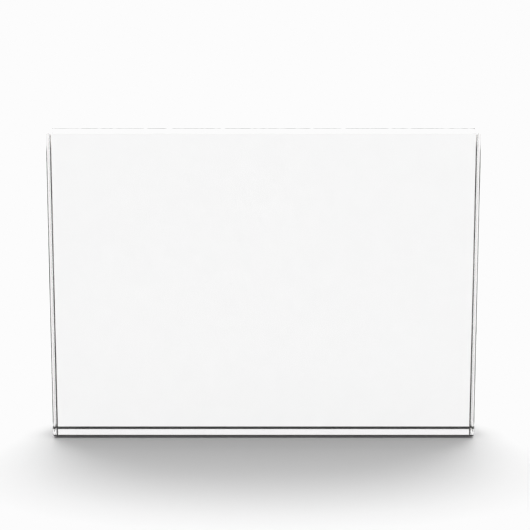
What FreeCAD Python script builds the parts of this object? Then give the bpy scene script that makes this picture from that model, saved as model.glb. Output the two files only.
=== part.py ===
import FreeCAD, Part
import Sketcher
import os

# Acrylic block frame: one solid block of clear acrylic that stands on its own base, with a
# print laminated to its back, face forward, and a protective film over the print.
# X runs along the width, Y along the depth with the viewer on the negative side, Z is up.
# The origin is the middle of the footprint, on the surface that the block stands on.

# Driving dimensions in millimetres: alias, value, what it measures
DIMENSIONS = (
    ("block_width", 180, "block, from side to side"),
    ("block_height", 130, "block, from base to top"),
    ("block_depth", 20, "block, from the front face to the face that carries the print"),
    ("edge_chamfer", 0.5, "leg of the polished 45 degree chamfer on every edge of the block"),
    ("trim_clearance", 0.1, "from the inner edge of the rear chamfers to the cut edge of the films"),
    ("mounting_thickness", 0.1, "optically clear mounting film"),
    ("print_thickness", 0.25, "print on coated paper"),
    ("backing_thickness", 0.25, "self-adhesive protective film"),
)

doc = FreeCAD.newDocument("acrylic_block_frame")
sheet = doc.addObject("Spreadsheet::Sheet", "sizes")
for row, (alias, value, meaning) in enumerate(DIMENSIONS, start=1):
    sheet.set(f"A{row}", meaning)
    sheet.set(f"B{row}", str(value))
    sheet.setAlias(f"B{row}", alias)
doc.recompute()

# The layers lie one behind the other and share one centre, and their whole depth is centred
# on the origin. Each seat is the plane on which the layer's front face lies.
LAYERS = ("block_depth", "mounting_thickness", "print_thickness", "backing_thickness")
WHOLE_DEPTH = " + ".join(f"sizes.{layer}" for layer in LAYERS)
BLOCK_SEAT = f"-({WHOLE_DEPTH}) / 2"
MOUNTING_SEAT = f"{BLOCK_SEAT} + sizes.block_depth"
PRINT_SEAT = f"{MOUNTING_SEAT} + sizes.mounting_thickness"
BACKING_SEAT = f"{PRINT_SEAT} + sizes.print_thickness"

# The films are laid on oversize and trimmed in one cut, just inside the rear chamfers.
FILM_WIDTH = "sizes.block_width - 2 * (sizes.edge_chamfer + sizes.trim_clearance)"
FILM_HEIGHT = "sizes.block_height - 2 * (sizes.edge_chamfer + sizes.trim_clearance)"


def standing_body(label, seat):
    """Add a body whose own origin is at the block's mid height, on the plane y = seat."""
    body = doc.addObject("PartDesign::Body", label)
    body.Label = label
    body.setExpression("Placement.Base.y", seat)
    body.setExpression("Placement.Base.z", "sizes.block_height / 2")
    return body


def upright_rectangle(body, width, height):
    """Sketch a rectangle on the body's upright plane, centred on the body's origin."""
    sketch = body.newObject("Sketcher::SketchObject", f"{body.Label}_outline")
    planes = body.Origin.OriginFeatures
    sketch.AttachmentSupport = [(next(p for p in planes if p.Role == "XZ_Plane"), "")]
    sketch.MapMode = "FlatFace"

    # The sides are drawn in order round the rectangle, and the constraints then size it.
    first_width = sheet.get("block_width")
    first_height = sheet.get("block_height")
    corners = (
        FreeCAD.Vector(0, 0),
        FreeCAD.Vector(first_width, 0),
        FreeCAD.Vector(first_width, first_height),
        FreeCAD.Vector(0, first_height),
    )
    sides = [
        sketch.addGeometry(Part.LineSegment(corner, following))
        for corner, following in zip(corners, corners[1:] + corners[:1])
    ]
    base, right, top, left = sides
    start, end = 1, 2
    origin = (-1, 1)
    for side, following in zip(sides, sides[1:] + sides[:1]):
        sketch.addConstraint(Sketcher.Constraint("Coincident", side, end, following, start))
    for level in (base, top):
        sketch.addConstraint(Sketcher.Constraint("Horizontal", level))
    for plumb in (left, right):
        sketch.addConstraint(Sketcher.Constraint("Vertical", plumb))
    sketch.addConstraint(Sketcher.Constraint("Symmetric", base, start, top, start, *origin))

    for name, kind, side, first_size, size in (
        ("width", "DistanceX", base, first_width, width),
        ("height", "DistanceY", right, first_height, height),
    ):
        index = sketch.addConstraint(Sketcher.Constraint(kind, side, start, side, end, first_size))
        sketch.renameConstraint(index, name)
        sketch.setExpression(f"Constraints.{name}", size)
    return sketch


def pad_backwards(body, sketch, thickness):
    """Pad the sketch from the seat towards the back."""
    pad = body.newObject("PartDesign::Pad", f"{body.Label}_pad")
    pad.Profile = sketch
    pad.Reversed = True
    pad.setExpression("Length", thickness)
    return pad


# The block is sawn from cast sheet. Its faces are the sheet's own, its four walls are
# diamond polished, and every edge is broken with the same small polished chamfer.
acrylic_block = standing_body("acrylic_block", BLOCK_SEAT)
block_outline = upright_rectangle(acrylic_block, "sizes.block_width", "sizes.block_height")
slab = pad_backwards(acrylic_block, block_outline, "sizes.block_depth")
chamfers = acrylic_block.newObject("PartDesign::Chamfer", "polished_chamfers")
chamfers.Base = (slab, [""])
chamfers.UseAllEdges = True
chamfers.setExpression("Size", "sizes.edge_chamfer")

# The mounting film bonds the print to the block over the whole picture, with no air between.
mounting_film = standing_body("mounting_film", MOUNTING_SEAT)
mounting_outline = upright_rectangle(mounting_film, FILM_WIDTH, FILM_HEIGHT)
pad_backwards(mounting_film, mounting_outline, "sizes.mounting_thickness")

# The print runs out to the trimmed edge on all four sides, so the block shows no border.
photo_print = standing_body("photo_print", PRINT_SEAT)
print_outline = upright_rectangle(photo_print, FILM_WIDTH, FILM_HEIGHT)
pad_backwards(photo_print, print_outline, "sizes.print_thickness")

# The backing film seals the paper against light and scratches.
backing_film = standing_body("backing_film", BACKING_SEAT)
backing_outline = upright_rectangle(backing_film, FILM_WIDTH, FILM_HEIGHT)
pad_backwards(backing_film, backing_outline, "sizes.backing_thickness")

doc.recompute()

# Nothing is written until every feature has been built without a fault.
for feature in doc.Objects:
    faults = {"Invalid", "Error"} & set(feature.State)
    if faults:
        raise RuntimeError(f"{feature.Label} is {', '.join(sorted(faults))}")

pieces = (acrylic_block, mounting_film, photo_print, backing_film)
for piece in pieces:
    shape = piece.Shape
    if shape.isNull() or not shape.isValid() or len(shape.Solids) != 1:
        raise RuntimeError(f"{piece.Label} is not one sound solid")

os.makedirs("parts", exist_ok=True)
for piece in pieces:
    piece.Shape.exportStep(f"parts/{piece.Label}.step")
    box = piece.Shape.BoundBox
    print(
        f"{piece.Label}: x {box.XMin:.3f} to {box.XMax:.3f}, "
        f"y {box.YMin:.3f} to {box.YMax:.3f}, z {box.ZMin:.3f} to {box.ZMax:.3f}, "
        f"{piece.Shape.Volume:.1f} cubic mm, {len(piece.Shape.Faces)} faces"
    )
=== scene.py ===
import math

import bpy
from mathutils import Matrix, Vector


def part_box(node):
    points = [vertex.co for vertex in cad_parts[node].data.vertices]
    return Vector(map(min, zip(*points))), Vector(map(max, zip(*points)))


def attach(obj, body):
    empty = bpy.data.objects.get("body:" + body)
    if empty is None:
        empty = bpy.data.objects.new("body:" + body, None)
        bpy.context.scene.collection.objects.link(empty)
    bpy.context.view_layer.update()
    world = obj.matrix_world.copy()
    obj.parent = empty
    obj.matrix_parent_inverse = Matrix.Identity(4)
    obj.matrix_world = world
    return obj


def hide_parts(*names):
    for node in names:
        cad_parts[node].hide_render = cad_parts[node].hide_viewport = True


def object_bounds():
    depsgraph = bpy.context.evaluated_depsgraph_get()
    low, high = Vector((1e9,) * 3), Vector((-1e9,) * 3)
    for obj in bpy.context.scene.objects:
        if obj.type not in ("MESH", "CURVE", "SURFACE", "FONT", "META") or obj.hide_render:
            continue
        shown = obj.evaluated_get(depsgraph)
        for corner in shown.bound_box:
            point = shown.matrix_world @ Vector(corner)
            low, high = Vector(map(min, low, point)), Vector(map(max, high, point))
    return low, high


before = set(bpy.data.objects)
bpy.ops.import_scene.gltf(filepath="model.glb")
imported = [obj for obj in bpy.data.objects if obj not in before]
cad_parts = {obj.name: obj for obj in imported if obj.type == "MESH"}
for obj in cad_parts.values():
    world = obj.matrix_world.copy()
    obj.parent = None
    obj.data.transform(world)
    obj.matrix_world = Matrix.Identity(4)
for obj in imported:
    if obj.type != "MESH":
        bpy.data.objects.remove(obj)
cad_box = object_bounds()
bpy.ops.object.select_all(action="DESELECT")


# Acrylic block
# One solid block of clear cast acrylic that stands on its own base. Its two faces are the
# cast sheet's own, its four walls are sawn and diamond polished, and every edge has a small
# chamfer scraped by hand. The print's film is bonded to its rear face with no air gap.
CLEAR_ACRYLIC = "ffffff"
# A dark tint for the chamfers, as painted shade
PAINTED_EDGE_SHADE = "060606"
# A dark grey laid on the foot and rear chamfers, as painted shade
PAINTED_SHADE_GREY = "3a3a3a"
ACRYLIC_IOR = 1.491

# A millimetre in metres, and a hair of slack for each test of where a point lies
MM = 0.001
HAIR = 0.003 * MM

# The chamfer's leg, how far in from the side or up from the base its dark line shows, the
# heights between which the line widens or fades, and what is left of it where it has faded
CHAMFER = 0.5 * MM
FRONT_LINE = 0.47 * MM
REAR_LINE = 0.55 * MM
LOW_REAR_LINE = 0.6 * MM
FOOT_LINE = 0.76 * MM
REAR_WIDE_BELOW = 15 * MM
REAR_THIN_ABOVE = 55 * MM
FRONT_FADED_BELOW = 3 * MM
FRONT_FULL_ABOVE = 7 * MM
TOP_FADE = 8 * MM
FADED_SHARE = 0.2

# The hand scraper's strokes: their length, how strongly they vary the edges' painted shade
# and the rear edges' painted dark grey, and how rough they leave it
SCRAPE_STROKE = 14 * MM
STROKE_RANGE = (0.38, 0.62)
STROKE_DEPTH = 0.09
REAR_SHADE_DEPTH = 0.2
SCRAPED_ROUGHNESS = 0.1

# The casting's wave, the cutter's lines on the walls and the burr on the top
CASTING_WAVE = 28 * MM
CASTING_RISE = 0.008 * MM
CUTTER_PITCH = 0.9 * MM
CUTTER_RISE = 0.0006 * MM
CUTTER_ROUGHNESS = 0.02
BURR_WIDTH = 3.6 * MM
BURR_RISE = 0.27 * MM
BURR_STROKE = 3.2 * MM
BURR_RANGE = (0.39, 0.55)

# The painted shade on the rear edges starts to be hidden, and is hidden, where the acrylic
# mirrors these shares of the light.
HIDING_SHARES = (0.4, 0.9)
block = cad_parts["acrylic_block"]
block_low, block_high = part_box("acrylic_block")
bond_low, bond_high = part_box("mounting_film")

# The Mix node has sockets of one name for numbers and colours, so they go by their place.
FACTOR, FIRST_NUMBER, SECOND_NUMBER, FIRST_COLOUR, SECOND_COLOUR = 0, 2, 3, 6, 7
MIXED_COLOUR = 2


def linear(hex_colour):
    """Turn an sRGB hex colour such as "f2f2f0" into linear red, green, blue and alpha."""
    channels = [int(hex_colour[i:i + 2], 16) / 255 for i in (0, 2, 4)]
    curve = [c / 12.92 if c <= 0.04045 else ((c + 0.055) / 1.055) ** 2.4 for c in channels]
    return (*curve, 1.0)


def add(tree, kind, inputs=(), **settings):
    """Add a shader node with its settings. An input takes a value, a socket, or a node's
    first output, and goes by its place or, in a dictionary, by its name or place."""
    made = tree.nodes.new(kind)
    for name, value in settings.items():
        setattr(made, name, value)
    for place, value in inputs.items() if isinstance(inputs, dict) else enumerate(inputs):
        if isinstance(value, bpy.types.Node):
            value = value.outputs[0]
        if isinstance(value, bpy.types.NodeSocket):
            tree.links.new(value, made.inputs[place])
        else:
            made.inputs[place].default_value = value
    return made


def empty_material(name):
    """Give a new material with an empty node tree, and that tree."""
    material = bpy.data.materials.new(name)
    material.use_nodes = True
    material.node_tree.nodes.clear()
    return material, material.node_tree


def places(tree, low, high):
    """Give the shaded point on a boxy piece as a vector, as its X, Y and Z, and as how deep
    it lies inside the box along X, Y and Z."""
    place = add(tree, "ShaderNodeTexCoord").outputs["Object"]
    middle = [(a + b) / 2 for a, b in zip(low, high)]
    half = [(b - a) / 2 for a, b in zip(low, high)]
    reach = add(tree, "ShaderNodeVectorMath", (place, middle), operation="SUBTRACT")
    reach = add(tree, "ShaderNodeVectorMath", (reach,), operation="ABSOLUTE")
    depth = add(tree, "ShaderNodeVectorMath", (half, reach), operation="SUBTRACT")
    at, inset = (add(tree, "ShaderNodeSeparateXYZ", (vector,)).outputs for vector in (place, depth))
    return place, at, inset


# Cast acrylic is as clear as water. It mirrors a few percent of the light from outside, and
# all of it from inside at a slant, so its walls look silvery. Its scraped chamfers carry
# painted shade in their colour, which draws them as thin dark lines.
acrylic, tree = empty_material("polished cast acrylic")
place, at, inset = places(tree, block_low, block_high)

# The upright edges are told from the faces and the walls by their place. Their dark lines
# are painted shade: the rear lines widen towards the foot, all of them fade near the top, and
# the front ones near the foot as well.
mid_depth = (block_low[1] + block_high[1]) / 2
at_back = add(tree, "ShaderNodeMath", (at["Y"], mid_depth), operation="GREATER_THAN")
by_face = add(tree, "ShaderNodeMath", (inset["Y"], CHAMFER - HAIR), operation="LESS_THAN")
low_down = add(tree, "ShaderNodeMapRange", {
    "Value": at["Z"],
    "From Min": block_low[2] + REAR_WIDE_BELOW, "From Max": block_low[2] + REAR_THIN_ABOVE,
    "To Min": 1.0, "To Max": 0.0,
}, interpolation_type="SMOOTHSTEP")
rear_width = add(tree, "ShaderNodeMix", {
    FACTOR: low_down, FIRST_NUMBER: REAR_LINE, SECOND_NUMBER: LOW_REAR_LINE,
}, data_type="FLOAT")
seen_width = add(tree, "ShaderNodeMix", {
    FACTOR: at_back, FIRST_NUMBER: FRONT_LINE, SECOND_NUMBER: rear_width,
}, data_type="FLOAT")
by_wall = add(tree, "ShaderNodeMath", (inset["X"], seen_width), operation="LESS_THAN")
upright_edge = add(tree, "ShaderNodeMath", (by_face, by_wall), operation="MULTIPLY")
fades_high = add(tree, "ShaderNodeMapRange", {
    "Value": at["Z"],
    "From Min": block_high[2] - TOP_FADE, "From Max": block_high[2] - TOP_FADE / 2,
    "To Min": 1.0, "To Max": FADED_SHARE,
}, interpolation_type="SMOOTHSTEP")
fades_low = add(tree, "ShaderNodeMapRange", {
    "Value": at["Z"],
    "From Min": block_low[2] + FRONT_FADED_BELOW, "From Max": block_low[2] + FRONT_FULL_ABOVE,
    "To Min": FADED_SHARE, "To Max": 1.0,
}, interpolation_type="SMOOTHSTEP")
fades_low = add(tree, "ShaderNodeMath", (fades_low, at_back), operation="MAXIMUM")

# The scraper has left the upright edges uneven along their length, in their roughness and
# in their painted shade.
strokes = add(tree, "ShaderNodeTexNoise", {
    "Vector": place, "Scale": 1 / SCRAPE_STROKE, "Detail": 3.0,
})
strokes = add(tree, "ShaderNodeMapRange", {
    "Value": strokes, "From Min": STROKE_RANGE[0], "From Max": STROKE_RANGE[1],
})
uneven = add(tree, "ShaderNodeMath", (
    strokes, STROKE_DEPTH, 1 - STROKE_DEPTH,
), operation="MULTIPLY_ADD")
scraped_and_shaded = add(tree, "ShaderNodeMath", (upright_edge, fades_high), operation="MULTIPLY")
scraped_and_shaded = add(tree, "ShaderNodeMath", (scraped_and_shaded, uneven), operation="MULTIPLY")
scraped_and_shaded = add(tree, "ShaderNodeMath", (scraped_and_shaded, fades_low), operation="MULTIPLY")
# The upright edges are tinted dark here as painted shade.
tint = add(tree, "ShaderNodeMix", {
    FACTOR: scraped_and_shaded, FIRST_COLOUR: linear(CLEAR_ACRYLIC), SECOND_COLOUR: linear(PAINTED_EDGE_SHADE),
}, data_type="RGBA")

# A faint wave, such as the casting glass leaves, runs over the whole block. The walls also
# have the fine lines of the diamond cutter, drawn several times too coarse, as the real ones
# are lost between pixels. At a scale of 1 the wave texture repeats every tau / 20.
wave = add(tree, "ShaderNodeTexNoise", {
    "Vector": place, "Scale": 1 / CASTING_WAVE, "Detail": 1.0,
})
wave = add(tree, "ShaderNodeMath", (wave, CASTING_RISE), operation="MULTIPLY")
on_side = add(tree, "ShaderNodeMath", (inset["X"], HAIR), operation="LESS_THAN")
along = add(tree, "ShaderNodeMix", {
    FACTOR: on_side, FIRST_NUMBER: at["X"], SECOND_NUMBER: at["Z"],
}, data_type="FLOAT")
cut = add(tree, "ShaderNodeTexWave", {
    "Vector": add(tree, "ShaderNodeCombineXYZ", (along, 0.0, 0.0)),
    "Scale": math.tau / 20 / CUTTER_PITCH,
    "Distortion": 2.0, "Detail": 1.0, "Detail Scale": 0.4,
})
on_wall = add(tree, "ShaderNodeMath", (inset["Y"], HAIR), operation="GREATER_THAN")
cut = add(tree, "ShaderNodeMath", (cut.outputs["Fac"], on_wall), operation="MULTIPLY")
relief = add(tree, "ShaderNodeMath", (cut, CUTTER_RISE, wave), operation="MULTIPLY_ADD")

# The scraper has turned up a low, broken burr along the rear edge of the top. At a glancing
# view it mirrors the dark above the studio's wall. It is drawn many times wider than it is,
# as the real one is lost between pixels.
on_top = add(tree, "ShaderNodeMath", (at["Z"], block_high[2] - HAIR), operation="GREATER_THAN")
top_rear_edge = block_high[1] - CHAMFER
burr = add(tree, "ShaderNodeMapRange", {
    "Value": at["Y"], "From Min": top_rear_edge - BURR_WIDTH, "From Max": top_rear_edge,
}, interpolation_type="SMOOTHSTEP")
broken = add(tree, "ShaderNodeTexNoise", {
    "Vector": add(tree, "ShaderNodeCombineXYZ", (at["X"], 0.0, 0.0)),
    "Scale": 1 / BURR_STROKE, "Detail": 4.0, "Roughness": 0.75,
})
broken = add(tree, "ShaderNodeMapRange", {
    "Value": broken, "From Min": BURR_RANGE[0], "From Max": BURR_RANGE[1],
})
burr = add(tree, "ShaderNodeMath", (burr, on_top), operation="MULTIPLY")
burr = add(tree, "ShaderNodeMath", (burr, broken), operation="MULTIPLY")
relief = add(tree, "ShaderNodeMath", (burr, BURR_RISE, relief), operation="MULTIPLY_ADD")

polish = add(tree, "ShaderNodeMath", (on_wall, CUTTER_ROUGHNESS), operation="MULTIPLY")
polish = add(tree, "ShaderNodeMath", (scraped_and_shaded, SCRAPED_ROUGHNESS, polish), operation="MULTIPLY_ADD")
clear = add(tree, "ShaderNodeBsdfPrincipled", {
    "Base Color": tint.outputs[MIXED_COLOUR],
    "Roughness": polish,
    "IOR": ACRYLIC_IOR,
    "Transmission Weight": 1.0,
    "Normal": add(tree, "ShaderNodeBump", {"Strength": 1.0, "Distance": 1.0, "Height": relief}),
})

# Round the foot and down the rear edges the chamfers are painted dark grey, as painted shade
# that is deepest towards the foot. At a slant the acrylic mirrors from inside, and hides the
# painted shade on the rear edges.
at_foot = add(tree, "ShaderNodeMath", (at["Z"], block_low[2] + FOOT_LINE), operation="LESS_THAN")
foot_edge = add(tree, "ShaderNodeMath", (by_face, at_foot), operation="MULTIPLY")
mirrored = add(tree, "ShaderNodeFresnel", {"IOR": ACRYLIC_IOR})
seen_through = add(tree, "ShaderNodeMapRange", {
    "Value": mirrored, "From Min": HIDING_SHARES[0], "From Max": HIDING_SHARES[1],
    "To Min": 1.0, "To Max": 0.0,
})
rear_shade = add(tree, "ShaderNodeMath", (
    strokes, REAR_SHADE_DEPTH, 1 - REAR_SHADE_DEPTH,
), operation="MULTIPLY_ADD")
rear_shade = add(tree, "ShaderNodeMath", (rear_shade, low_down), operation="MAXIMUM")
rear_edge = add(tree, "ShaderNodeMath", (scraped_and_shaded, at_back), operation="MULTIPLY")
rear_edge = add(tree, "ShaderNodeMath", (rear_edge, rear_shade), operation="MULTIPLY")
rear_edge = add(tree, "ShaderNodeMath", (rear_edge, seen_through), operation="MULTIPLY")
dark = add(tree, "ShaderNodeMath", (foot_edge, rear_edge), operation="MAXIMUM")
edge_shade_paint = add(tree, "ShaderNodeBsdfDiffuse", {"Color": linear(PAINTED_SHADE_GREY)})
edged = add(tree, "ShaderNodeMixShader", (dark, clear, edge_shade_paint))

# The film bonds the rear face to the print, so nothing is mirrored there.
film_margin = [a - b for a, b in zip(bond_low, block_low)]
across = add(tree, "ShaderNodeMath", (inset["X"], film_margin[0]), operation="GREATER_THAN")
upward = add(tree, "ShaderNodeMath", (inset["Z"], film_margin[2]), operation="GREATER_THAN")
behind = add(tree, "ShaderNodeMath", (at["Y"], block_high[1] - HAIR), operation="GREATER_THAN")
bonded = add(tree, "ShaderNodeMath", (across, upward), operation="MULTIPLY")
bonded = add(tree, "ShaderNodeMath", (bonded, behind), operation="MULTIPLY")

# Light reaches the print through the block, while the block still shades the floor.
inside = add(tree, "ShaderNodeNewGeometry").outputs["Backfacing"]
shadow_ray = add(tree, "ShaderNodeLightPath").outputs["Is Shadow Ray"]
lets_in = add(tree, "ShaderNodeMath", (inside, shadow_ray), operation="MULTIPLY")
opened = add(tree, "ShaderNodeMath", (bonded, lets_in), operation="MAXIMUM")
surface = add(tree, "ShaderNodeMixShader", (
    opened, edged, add(tree, "ShaderNodeBsdfTransparent"),
))
add(tree, "ShaderNodeOutputMaterial", (surface,))
block.material_slots[0].material = acrylic


# Mounting film
# A sheet of optically clear adhesive, 0.1 mm thick, rolled on so that it wets the acrylic and
# the print. Only its cut edge can be seen, just inside the rear chamfers.
CUT_HAZE = "dcdad2"
HAZE_LENGTH = 2.5 * MM
HAZE_THIN = 0.3
HAZE_THICK = 0.9
HAZE_ROUGHNESS = 0.45
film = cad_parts["mounting_film"]

# Most of what a noise texture gives lies in this range.
NOISE_RANGE = (0.35, 0.65)

# The adhesive is clear where it is pressed flat. The blade drags its cut edge, which looks
# milky, more so where it keeps a little air.
clear_film, tree = empty_material("optically clear adhesive")
place, _, inset = places(tree, bond_low, bond_high)
nearest = add(tree, "ShaderNodeMath", (inset["X"], inset["Z"]), operation="MINIMUM")
at_cut = add(tree, "ShaderNodeMath", (nearest, HAIR), operation="LESS_THAN")
haze = add(tree, "ShaderNodeTexNoise", {
    "Vector": place, "Scale": 1 / HAZE_LENGTH, "Detail": 2.0,
})
haze = add(tree, "ShaderNodeMapRange", {
    "Value": haze, "From Min": NOISE_RANGE[0], "From Max": NOISE_RANGE[1],
    "To Min": HAZE_THIN, "To Max": HAZE_THICK,
})
haze = add(tree, "ShaderNodeMath", (haze, at_cut), operation="MULTIPLY")
milky = add(tree, "ShaderNodeBsdfPrincipled", {
    "Base Color": linear(CUT_HAZE), "Roughness": HAZE_ROUGHNESS,
})
surface = add(tree, "ShaderNodeMixShader", (haze, add(tree, "ShaderNodeBsdfTransparent"), milky))
add(tree, "ShaderNodeOutputMaterial", (surface,))
film.material_slots[0].material = clear_film


# Photo print
# A sheet of resin-coated photo paper, 0.25 mm thick, face forward, with its picture area left
# blank. It is trimmed flush with its films by one guillotine cut, which rounds its edges.
PAPER_WHITE = "f3f3f3"
PAPER_CLOUD = "f2f2f2"
PAPER_CORE = "e6e3dc"
PAPER_FIBRE = "d2cec4"
CLOUD = 9 * MM
FIBRE = 0.8 * MM
PEARL_GRAIN = 0.9 * MM
PEARL_RISE = 0.006 * MM
PAPER_ROUGHNESS = 0.6
CUT_PAPER_ROUGHNESS = 0.9
PAPER_IOR = 1.45
CUT_ROUND = 0.03 * MM

# The sheet is drawn a touch thinner than it is, because its surface and a film's can't be
# told apart where they share a plane.
WETTING_GAP = 0.002 * MM
print_low, print_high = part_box("photo_print")
paper_size = [high - low for low, high in zip(print_low, print_high)]
paper_size[1] -= 2 * WETTING_GAP
paper_middle = [(low + high) / 2 for low, high in zip(print_low, print_high)]
bpy.ops.mesh.primitive_cube_add(size=1, location=(0, 0, 0))
photo = bpy.context.object
photo.name = photo.data.name = "bare_photo_print"
bpy.ops.object.mode_set(mode="EDIT")
bpy.ops.transform.resize(value=paper_size)
bpy.ops.transform.translate(value=paper_middle)
bpy.ops.mesh.bevel(offset=CUT_ROUND, segments=2, affect="EDGES")
bpy.ops.object.mode_set(mode="OBJECT")
bpy.ops.object.select_all(action="DESELECT")
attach(photo, "root")
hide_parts("photo_print")

# The adhesive wets the pearl surface, so the sheet has no gloss of its own. Faint clouds of
# the core show through the white resin, and the cut edge shows the creamy, fibrous core.
# The pearl grain is drawn three times too coarse, as the real one is lost between pixels.
paper, tree = empty_material("resin-coated photo paper")
place, _, inset = places(tree, print_low, print_high)
cloud = add(tree, "ShaderNodeTexNoise", {"Vector": place, "Scale": 1 / CLOUD, "Detail": 3.0})
cloud = add(tree, "ShaderNodeMapRange", {
    "Value": cloud, "From Min": NOISE_RANGE[0], "From Max": NOISE_RANGE[1],
})
skin = add(tree, "ShaderNodeMix", {
    FACTOR: cloud, FIRST_COLOUR: linear(PAPER_WHITE), SECOND_COLOUR: linear(PAPER_CLOUD),
}, data_type="RGBA")
fibre = add(tree, "ShaderNodeTexNoise", {"Vector": place, "Scale": 1 / FIBRE, "Detail": 4.0})
core = add(tree, "ShaderNodeMix", {
    FACTOR: fibre, FIRST_COLOUR: linear(PAPER_CORE), SECOND_COLOUR: linear(PAPER_FIBRE),
}, data_type="RGBA")
nearest = add(tree, "ShaderNodeMath", (inset["X"], inset["Z"]), operation="MINIMUM")
at_cut = add(tree, "ShaderNodeMath", (nearest, CUT_ROUND), operation="LESS_THAN")
colour = add(tree, "ShaderNodeMix", {
    FACTOR: at_cut,
    FIRST_COLOUR: skin.outputs[MIXED_COLOUR],
    SECOND_COLOUR: core.outputs[MIXED_COLOUR],
}, data_type="RGBA")
grain = add(tree, "ShaderNodeTexNoise", {
    "Vector": place, "Scale": 1 / PEARL_GRAIN, "Detail": 1.0,
})
grain = add(tree, "ShaderNodeMath", (grain, PEARL_RISE), operation="MULTIPLY")
rough = add(tree, "ShaderNodeMath", (
    at_cut, CUT_PAPER_ROUGHNESS - PAPER_ROUGHNESS, PAPER_ROUGHNESS,
), operation="MULTIPLY_ADD")
sheet = add(tree, "ShaderNodeBsdfPrincipled", {
    "Base Color": colour.outputs[MIXED_COLOUR],
    "Roughness": rough,
    "IOR": PAPER_IOR,
    "Specular IOR Level": 0.0,
    "Normal": add(tree, "ShaderNodeBump", {"Strength": 1.0, "Distance": 1.0, "Height": grain}),
})
add(tree, "ShaderNodeOutputMaterial", (sheet,))
photo.data.materials.append(paper)


# Backing film
# Black self-adhesive vinyl, 0.25 mm thick, squeegeed over the back of the print to seal it,
# and cut with it.
VINYL_BLACK = "151516"
VINYL_RUBBED = "222223"
VINYL_CROWN = "323233"
VINYL_CUT = "2c2b2a"
VINYL_GRAIN = 1.0 * MM
GRAIN_RISE = 0.07 * MM
CROWN_RANGE = (0.48, 0.66)
CROWN_SHARE = 0.8
ORANGE_PEEL = 6 * MM
PEEL_RISE = 0.12 * MM
STROKE_LENGTH = 70 * MM
STROKE_WIDTH = 9 * MM
LEAST_ROUGHNESS = 0.32
MOST_ROUGHNESS = 0.5
CUT_ADDED_ROUGHNESS = 0.2
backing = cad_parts["backing_film"]

# The satin grain, whose crowns are paler, the slight orange peel and the strokes of the
# squeegee break up the sheen, so it doesn't look like paint. The grain is drawn four times
# too coarse, for the same reason as the paper's. The fresh cut edge is paler and dull.
vinyl, tree = empty_material("satin black vinyl")
place, _, inset = places(tree, *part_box("backing_film"))
stretched = add(tree, "ShaderNodeVectorMath", (
    place, (1 / STROKE_LENGTH, 1 / STROKE_WIDTH, 1 / STROKE_WIDTH),
), operation="MULTIPLY")
stroke = add(tree, "ShaderNodeTexNoise", {"Vector": stretched, "Scale": 1.0, "Detail": 3.0})
stroke = add(tree, "ShaderNodeMapRange", {
    "Value": stroke, "From Min": NOISE_RANGE[0], "From Max": NOISE_RANGE[1],
})
colour = add(tree, "ShaderNodeMix", {
    FACTOR: stroke, FIRST_COLOUR: linear(VINYL_BLACK), SECOND_COLOUR: linear(VINYL_RUBBED),
}, data_type="RGBA")
grain = add(tree, "ShaderNodeTexNoise", {
    "Vector": place, "Scale": 1 / VINYL_GRAIN, "Detail": 2.0,
})
crowns = add(tree, "ShaderNodeMapRange", {
    "Value": grain, "From Min": CROWN_RANGE[0], "From Max": CROWN_RANGE[1],
    "To Max": CROWN_SHARE,
})
colour = add(tree, "ShaderNodeMix", {
    FACTOR: crowns,
    FIRST_COLOUR: colour.outputs[MIXED_COLOUR],
    SECOND_COLOUR: linear(VINYL_CROWN),
}, data_type="RGBA")
nearest = add(tree, "ShaderNodeMath", (inset["X"], inset["Z"]), operation="MINIMUM")
at_cut = add(tree, "ShaderNodeMath", (nearest, HAIR), operation="LESS_THAN")
colour = add(tree, "ShaderNodeMix", {
    FACTOR: at_cut,
    FIRST_COLOUR: colour.outputs[MIXED_COLOUR],
    SECOND_COLOUR: linear(VINYL_CUT),
}, data_type="RGBA")
peel = add(tree, "ShaderNodeTexNoise", {
    "Vector": place, "Scale": 1 / ORANGE_PEEL, "Detail": 1.0,
})
relief = add(tree, "ShaderNodeMath", (grain, GRAIN_RISE), operation="MULTIPLY")
relief = add(tree, "ShaderNodeMath", (peel, PEEL_RISE, relief), operation="MULTIPLY_ADD")
satin = add(tree, "ShaderNodeMapRange", {
    "Value": stroke, "To Min": LEAST_ROUGHNESS, "To Max": MOST_ROUGHNESS,
})
satin = add(tree, "ShaderNodeMath", (at_cut, CUT_ADDED_ROUGHNESS, satin), operation="MULTIPLY_ADD")
sheet = add(tree, "ShaderNodeBsdfPrincipled", {
    "Base Color": colour.outputs[MIXED_COLOUR],
    "Roughness": satin,
    "Normal": add(tree, "ShaderNodeBump", {"Strength": 1.0, "Distance": 1.0, "Height": relief}),
})
add(tree, "ShaderNodeOutputMaterial", (sheet,))
backing.material_slots[0].material = vinyl


# Studio floor
# A wide sheet of matt white board. It lies just below the block's base, so that the foot of
# the block throws the dark contact line that the photograph shows.
BOARD_WHITE = "f3f3f3"
BOARD_WIDTH = 30
FLOOR_GAP = 0.75 * MM
bpy.ops.mesh.primitive_plane_add(size=BOARD_WIDTH, location=(0, 0, -FLOOR_GAP))
floor = bpy.context.object
floor.name = floor.data.name = "studio_floor"
bpy.ops.object.transform_apply(location=True)

# The board's matt paper scatters light evenly, so the floor shows soft shade and no gloss.
board, tree = empty_material("matt white board")
matt = add(tree, "ShaderNodeBsdfDiffuse", {"Color": linear(BOARD_WHITE)})
add(tree, "ShaderNodeOutputMaterial", (matt,))
floor.data.materials.append(board)


# Studio light
# A narrow soft light overhead and behind the block, a wide one across the ceiling, a low
# white wall all round, which the top face mirrors, and a faint fill from the front. They are
# drawn on the sky, so nothing but their light is seen.
WALL_LIGHT = 1.3
FILL_LIGHT = 0.1
BACKDROP_LIGHT = 1.0

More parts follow.
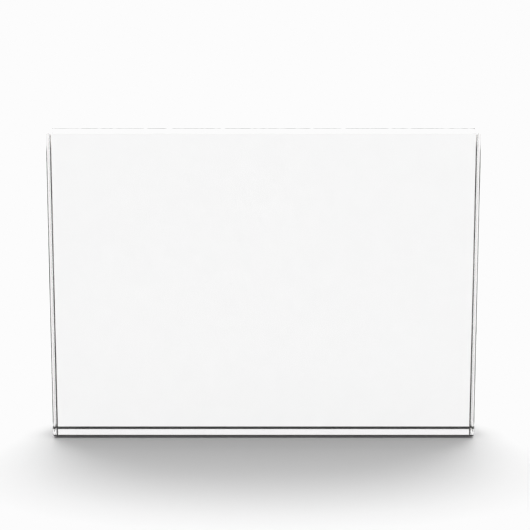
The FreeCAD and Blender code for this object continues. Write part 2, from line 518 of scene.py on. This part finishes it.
# A height on the sky is the sine of its angle up from the horizon, and a depth runs from -1,
# straight in front of the block, to 1, straight behind it.
WALL_FOOT = -0.03
WALL_TOP = (math.sin(math.radians(8.5)), math.sin(math.radians(9.5)))
FILL_FOOT = 0.16
FILL_DEPTH = (0.5, -0.3)
world = bpy.data.worlds.new("soft studio")
bpy.context.scene.world = world
world.use_nodes = True
tree = world.node_tree
tree.nodes.clear()
sky = add(tree, "ShaderNodeTexCoord").outputs["Generated"]
toward = add(tree, "ShaderNodeSeparateXYZ", (sky,))


def softbox(tilt, half_deep, half_wide, soft, light):
    """A soft oval light overhead, tilted back from the zenith. Its tilt and its half sizes
    are in degrees, and its soft rim is a share of them."""
    least_up = 0.01
    turned = add(tree, "ShaderNodeVectorRotate", {
        "Vector": sky, "Angle": math.radians(tilt),
    }, rotation_type="X_AXIS")
    part = add(tree, "ShaderNodeSeparateXYZ", (turned,))
    up = add(tree, "ShaderNodeMath", (part.outputs["Z"], least_up), operation="MAXIMUM")
    wide = add(tree, "ShaderNodeMath", (up, math.tan(math.radians(half_wide))), operation="MULTIPLY")
    deep = add(tree, "ShaderNodeMath", (up, math.tan(math.radians(half_deep))), operation="MULTIPLY")
    offset = add(tree, "ShaderNodeCombineXYZ", (
        add(tree, "ShaderNodeMath", (part.outputs["X"], wide), operation="DIVIDE"),
        add(tree, "ShaderNodeMath", (part.outputs["Y"], deep), operation="DIVIDE"),
    ))
    radius = add(tree, "ShaderNodeVectorMath", (offset,), operation="LENGTH").outputs["Value"]
    return add(tree, "ShaderNodeMapRange", {
        "Value": radius, "From Min": 1 - soft, "From Max": 1 + soft,
        "To Min": light, "To Max": 0.0,
    }, interpolation_type="SMOOTHSTEP")


key = softbox(tilt=37.1, half_deep=14.04, half_wide=28.61, soft=0.818, light=6.77)
overhead = softbox(tilt=-3.45, half_deep=27.7, half_wide=80.0, soft=0.052, light=1.0)
height = toward.outputs["Z"]
wall = add(tree, "ShaderNodeMapRange", {
    "Value": height, "From Min": WALL_TOP[0], "From Max": WALL_TOP[1],
    "To Min": WALL_LIGHT, "To Max": 0.0,
}, interpolation_type="SMOOTHSTEP")
above_foot = add(tree, "ShaderNodeMath", (height, WALL_FOOT), operation="GREATER_THAN")
wall = add(tree, "ShaderNodeMath", (wall, above_foot), operation="MULTIPLY")
fill = add(tree, "ShaderNodeMapRange", {
    "Value": toward.outputs["Y"], "From Min": FILL_DEPTH[0], "From Max": FILL_DEPTH[1],
    "To Min": 0.0, "To Max": FILL_LIGHT,
}, interpolation_type="SMOOTHSTEP")
over_wall = add(tree, "ShaderNodeMath", (height, FILL_FOOT), operation="GREATER_THAN")
fill = add(tree, "ShaderNodeMath", (fill, over_wall), operation="MULTIPLY")
lights = add(tree, "ShaderNodeMath", (key, overhead), operation="ADD")
lights = add(tree, "ShaderNodeMath", (lights, wall), operation="ADD")
lights = add(tree, "ShaderNodeMath", (lights, fill), operation="ADD")
camera_ray = add(tree, "ShaderNodeLightPath").outputs["Is Camera Ray"]
shown = add(tree, "ShaderNodeMix", {
    FACTOR: camera_ray, FIRST_NUMBER: lights, SECOND_NUMBER: BACKDROP_LIGHT,
}, data_type="FLOAT")
background = add(tree, "ShaderNodeBackground", (shown,))
add(tree, "ShaderNodeOutputWorld", (background,))
world.cycles.sampling_method = "MANUAL"
world.cycles.sample_map_resolution = 1024

# A long low softbox in front lights the print through the block. It is sampled only as a
# light, so the polished faces don't mirror it. Its distance and sizes are in metres.
LAMP_FAR = 3.2
LAMP_UP = math.radians(3)
LAMP_WIDE = 1.8
LAMP_HIGH = 0.4
LAMP_WATTS = 110
mid_height = (block_low[2] + block_high[2]) / 2
bpy.ops.object.light_add(
    type="AREA",
    location=(0, -LAMP_FAR * math.cos(LAMP_UP), mid_height + LAMP_FAR * math.sin(LAMP_UP)),
    rotation=(math.pi / 2 - LAMP_UP, 0, 0),
)
lamp = bpy.context.object
lamp.name = "front_softbox"
lamp.data.shape = "RECTANGLE"
lamp.data.size = LAMP_WIDE
lamp.data.size_y = LAMP_HIGH
lamp.data.energy = LAMP_WATTS
lamp.data.cycles.use_multiple_importance_sampling = False
lamp.visible_camera = False


# Camera
# The photograph's own view, worked back from the block's edges: from in front, a little
# above, looking 11 degrees down, with its axis in the middle of the picture.
FOCAL_PIXELS = 1707.8
PICTURE_PIXELS = 530
SENSOR_WIDTH = 36
CAMERA_PITCH = math.radians(11.001)
CAMERA_ASIDE = 0.63 * MM
CAMERA_AHEAD = 702.4 * MM
CAMERA_ABOVE = 81.2 * MM
bpy.ops.object.camera_add(
    location=(CAMERA_ASIDE, cad_box[0][1] - CAMERA_AHEAD, cad_box[1][2] + CAMERA_ABOVE),
    rotation=(math.pi / 2 - CAMERA_PITCH, 0, 0),
)
camera = bpy.context.object
camera.data.sensor_width = SENSOR_WIDTH
camera.data.lens = SENSOR_WIDTH * FOCAL_PIXELS / PICTURE_PIXELS
camera.data.clip_end = 100
scene = bpy.context.scene
scene.camera = camera

# The view holds everything brighter than the paper just short of full white, as the
# photograph does. Light is followed far enough to get in and out of the block.
ALL_CHANNELS = 3
TONE_KNEE = 0.9
SHOWN_WHITE = 0.973
view = scene.view_settings
view.view_transform = "Standard"
view.use_curve_mapping = True
tone = view.curve_mapping.curves[ALL_CHANNELS]
tone.points.new(TONE_KNEE, TONE_KNEE)
tone.points[-1].location = (1.0, SHOWN_WHITE)
for point in tone.points:
    point.handle_type = "VECTOR"
view.curve_mapping.extend = "HORIZONTAL"
view.curve_mapping.update()
scene.cycles.caustics_refractive = False
scene.cycles.caustics_reflective = False
scene.cycles.max_bounces = 24
scene.cycles.glossy_bounces = 16
scene.cycles.transmission_bounces = 16
scene.cycles.transparent_max_bounces = 32
